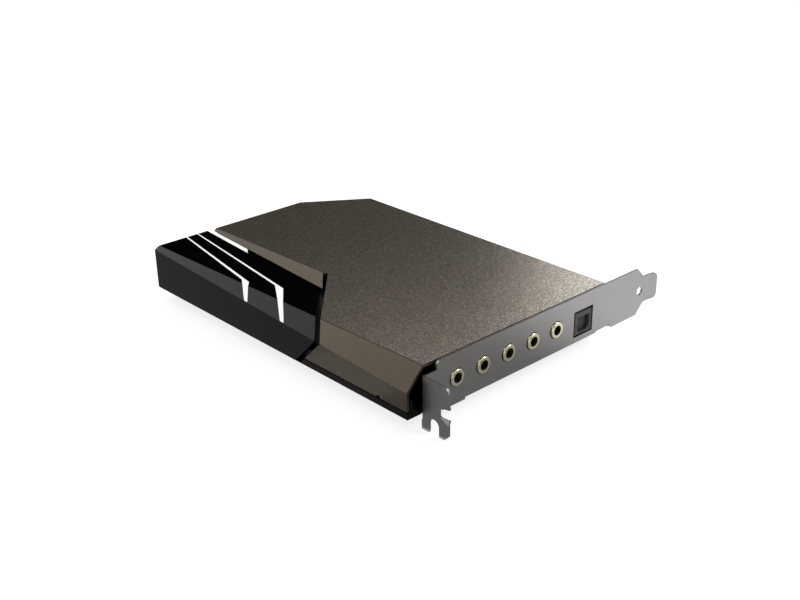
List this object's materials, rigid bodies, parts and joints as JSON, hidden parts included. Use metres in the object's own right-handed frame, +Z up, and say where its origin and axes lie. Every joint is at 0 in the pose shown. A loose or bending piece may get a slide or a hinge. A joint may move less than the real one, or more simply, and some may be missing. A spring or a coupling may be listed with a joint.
{
  "type": "sound card",
  "caption": "Flat computer expansion card with a folded steel slot bracket, round audio jacks, a shuttered optical port, and a painted cover beside a black light window.",
  "frame": {"origin": "middle of the card's plan box, at the level of its lowest point, the feet of the bracket's flange", "axes": "+X out through the bracket, along the card's length; +Y from the screw flange towards the edge connector and the bracket's tongue; +Z up from the board's solder side to its cover"},
  "size_m": [0.1562, 0.1252, 0.0216],
  "materials": {
    "plated_steel": "satin plated sheet steel",
    "screw_steel": "plated steel screws and pins",
    "board_laminate": "dark solder mask on glass-fibre laminate",
    "contact_gold": "gold-plated contacts",
    "collar_gold": "gold-plated turned collars",
    "cover_paint": "brown-grey metallic paint with a fine sparkle",
    "frame_plastic": "moulded black plastic",
    "window_gloss": "polished black plastic",
    "guide_white": "milky light guide",
    "lamp_white": "small surface lamps",
    "port_plastic": "moulded dark grey plastic",
    "flap_plastic": "moulded dark grey flap",
    "emitter_clear": "red tinted emitter",
    "jack_plastic": "moulded black plastic",
    "spring_bronze": "bronze spring contacts",
    "chip_epoxy": "moulded epoxy",
    "can_aluminium": "drawn aluminium cans",
    "film_red": "moulded red cases",
    "relay_plastic": "moulded pale cases",
    "ferrite_grey": "pressed ferrite"
  },
  "bodies": {
    "card": {"bracket": "plated_steel", "bracket_screws": "screw_steel", "circuit_board": "board_laminate", "edge_contacts": "contact_gold", "top_cover": "cover_paint", "inner_frame": "frame_plastic", "frame_screws": "screw_steel", "light_window": "window_gloss", "light_guide": "guide_white", "groove_light_bar": "guide_white", "light_board": "board_laminate", "light_leds": "lamp_white", "optical_body": "port_plastic", "optical_hinge_pin": "screw_steel", "optical_emitter": "emitter_clear", "audio_processor": "chip_epoxy", "audio_converter": "chip_epoxy", "headphone_amplifiers": "chip_epoxy", "op_amps": "chip_epoxy", "electrolytic_capacitors": "can_aluminium", "film_capacitors": "film_red", "output_relays": "relay_plastic", "clock_crystals": "screw_steel", "voltage_regulators": "chip_epoxy", "supply_inductors": "ferrite_grey", "jack_1_body": "jack_plastic", "jack_1_collar": "collar_gold", "jack_1_contacts": "spring_bronze", "jack_2_body": "jack_plastic", "jack_2_collar": "collar_gold", "jack_2_contacts": "spring_bronze", "jack_3_body": "jack_plastic", "jack_3_collar": "collar_gold", "jack_3_contacts": "spring_bronze", "jack_4_body": "jack_plastic", "jack_4_collar": "collar_gold", "jack_4_contacts": "spring_bronze", "jack_5_body": "jack_plastic", "jack_5_collar": "collar_gold", "jack_5_contacts": "spring_bronze"},
    "shutter": {"optical_shutter": "flap_plastic"}
  },
  "joints": [
    {"name": "shutter_hinge", "type": "hinge", "parent": "card", "child": "shutter", "pos_m": [0.06485, 0.02107, 0.01361], "axis": [0, 1, 0], "range_deg": [0, 80], "stiffness_Nm_per_rad": 0.00005, "springref_deg": -28.65}
  ]
}
